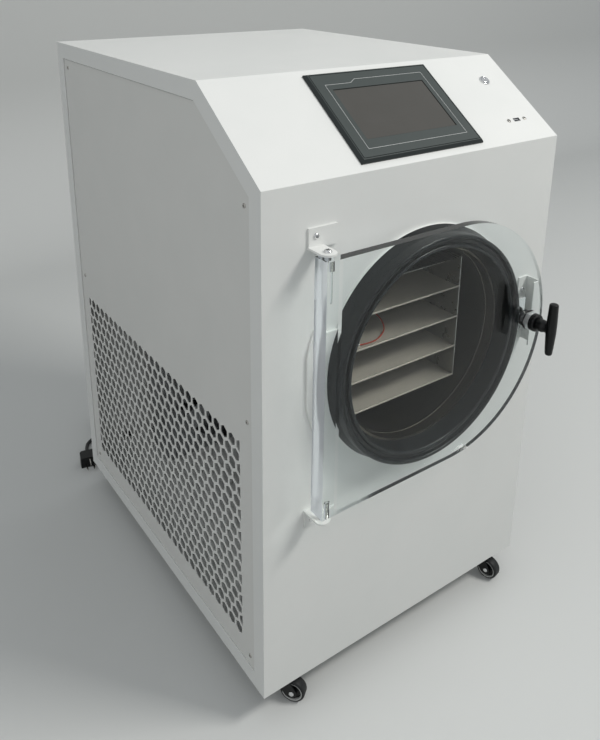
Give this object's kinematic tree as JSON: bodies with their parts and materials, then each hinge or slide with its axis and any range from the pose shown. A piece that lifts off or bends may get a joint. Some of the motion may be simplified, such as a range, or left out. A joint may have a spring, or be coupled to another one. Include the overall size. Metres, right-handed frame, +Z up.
{
  "type": "laboratory freeze dryer",
  "caption": "Floor-standing freeze dryer on casters: sheet cabinet with pierced sides, sloping control panel, and a steel chamber with tray rack behind a clear hinged door.",
  "frame": {"origin": "on the floor, under the middle of the box round the machine without its mains lead", "axes": "+Z up, -Y towards the user at the front door, +X to the user's right"},
  "size_m": [0.5593, 1.03, 0.952],
  "materials": {
    "powder_coat": "satin powder coat",
    "perforated_sheet": "satin powder coat",
    "zinc_sheet": "zinc plated",
    "zinc_screw": "zinc plated",
    "chamber_steel": "brushed stainless",
    "shelf_steel": "bright rolled stainless",
    "polished_steel": "polished",
    "cast_aluminium": "satin",
    "brass": "bright",
    "clear_acrylic": "clear polished",
    "dark_plastic": "fine moulded grain",
    "screen_glass": "semi-matt",
    "black_plastic": "satin",
    "seal_rubber": "soft sheen",
    "foam_rubber": "matt",
    "tyre_rubber": "matt",
    "black_enamel": "gloss enamel",
    "copper": "bright",
    "cable_pvc": "soft sheen",
    "lead_sleeve": "soft"
  },
  "bodies": {
    "cabinet": {"cabinet_shell": "powder_coat", "base_tray": "powder_coat", "rear_panel": "powder_coat", "left_side_panel": "perforated_sheet", "right_side_panel": "perforated_sheet", "cabinet_screws": "zinc_screw", "touch_panel_housing": "dark_plastic", "touch_panel_screen": "screen_glass", "power_button_housing": "polished_steel", "data_port": "polished_steel", "chamber_drum": "chamber_steel", "chamber_back": "chamber_steel", "drum_flange": "powder_coat", "drum_insulation": "foam_rubber", "door_seal": "seal_rubber", "rack_frame": "shelf_steel", "shelf_1": "shelf_steel", "shelf_2": "shelf_steel", "shelf_3": "shelf_steel", "shelf_4": "shelf_steel", "sensor_gland": "polished_steel", "sensor_lead": "lead_sleeve", "sensor_probe": "polished_steel", "upper_hinge_bracket": "powder_coat", "lower_hinge_bracket": "powder_coat", "pivot_screws": "polished_steel", "hinge_spacer": "black_plastic", "latch_keeper": "powder_coat", "compressor": "black_enamel", "compressor_grommets": "foam_rubber", "condenser": "cast_aluminium", "fan_shroud": "zinc_sheet", "fan_motor": "black_enamel", "control_box": "zinc_sheet", "vacuum_pipe": "chamber_steel", "refrigerant_pipes": "copper", "cable_gland": "black_plastic", "power_cord": "cable_pvc", "power_cord_coil": "cable_pvc", "power_cord_end": "cable_pvc", "mains_plug": "black_plastic", "caster_plates": "zinc_sheet"},
    "door": {"door_plate": "clear_acrylic", "door_hinge_bar": "clear_acrylic", "pivot_inserts": "brass", "latch_barrel": "black_plastic", "latch_nut": "polished_steel", "latch_collar": "black_plastic"},
    "latch": {"latch_handle": "black_plastic", "latch_cam_spindle": "polished_steel"},
    "button": {"power_button_cap": "polished_steel"},
    "fan": {"fan_rotor": "cast_aluminium"},
    "front_left_swivel": {"front_left_fork": "zinc_sheet"},
    "front_left_roller": {"front_left_wheel": "tyre_rubber"},
    "front_right_swivel": {"front_right_fork": "zinc_sheet"},
    "front_right_roller": {"front_right_wheel": "tyre_rubber"},
    "rear_left_swivel": {"rear_left_fork": "zinc_sheet"},
    "rear_left_roller": {"rear_left_wheel": "tyre_rubber"},
    "rear_right_swivel": {"rear_right_fork": "zinc_sheet"},
    "rear_right_roller": {"rear_right_wheel": "tyre_rubber"}
  },
  "joints": [
    {"name": "door_hinge", "type": "hinge", "parent": "cabinet", "child": "door", "pos_m": [-0.195, -0.3415, 0.564], "axis": [0, 0, 1], "range_deg": [-115, 0]},
    {"name": "latch_turn", "type": "hinge", "parent": "door", "child": "latch", "pos_m": [0.191, -0.36, 0.566], "axis": [0, 1, 0], "range_deg": [0, 90]},
    {"name": "power_button_press", "type": "slide", "parent": "cabinet", "child": "button", "axis": [0, 0.5812, -0.8137], "range_m": [0, 0.0015], "stiffness_N_per_m": 500, "springref_m": -0.001},
    {"name": "fan_spin", "type": "hinge", "parent": "cabinet", "child": "fan", "pos_m": [0, 0.291, 0.1785], "axis": [0, 1, 0], "continuous": true},
    {"name": "front_left_swivel_turn", "type": "hinge", "parent": "cabinet", "child": "front_left_swivel", "pos_m": [-0.225, -0.286, 0.045], "axis": [0, 0, 1], "continuous": true},
    {"name": "front_left_wheel_roll", "type": "hinge", "parent": "front_left_swivel", "child": "front_left_roller", "pos_m": [-0.21296, -0.30197, 0.02], "axis": [0.7986, 0.6018, 0], "continuous": true},
    {"name": "front_right_swivel_turn", "type": "hinge", "parent": "cabinet", "child": "front_right_swivel", "pos_m": [0.225, -0.286, 0.045], "axis": [0, 0, 1], "continuous": true},
    {"name": "front_right_wheel_roll", "type": "hinge", "parent": "front_right_swivel", "child": "front_right_roller", "pos_m": [0.22916, -0.30556, 0.02], "axis": [0.9781, 0.2079, 0], "continuous": true},
    {"name": "rear_left_swivel_turn", "type": "hinge", "parent": "cabinet", "child": "rear_left_swivel", "pos_m": [-0.225, 0.348, 0.045], "axis": [0, 0, 1], "continuous": true},
    {"name": "rear_left_wheel_roll", "type": "hinge", "parent": "rear_left_swivel", "child": "rear_left_roller", "pos_m": [-0.21623, 0.33002, 0.02], "axis": [0.8988, 0.4384, 0], "continuous": true},
    {"name": "rear_right_swivel_turn", "type": "hinge", "parent": "cabinet", "child": "rear_right_swivel", "pos_m": [0.225, 0.348, 0.045], "axis": [0, 0, 1], "continuous": true},
    {"name": "rear_right_wheel_roll", "type": "hinge", "parent": "rear_right_swivel", "child": "rear_right_roller", "pos_m": [0.23151, 0.32909, 0.02], "axis": [0.9455, 0.3256, 0], "continuous": true}
  ]
}
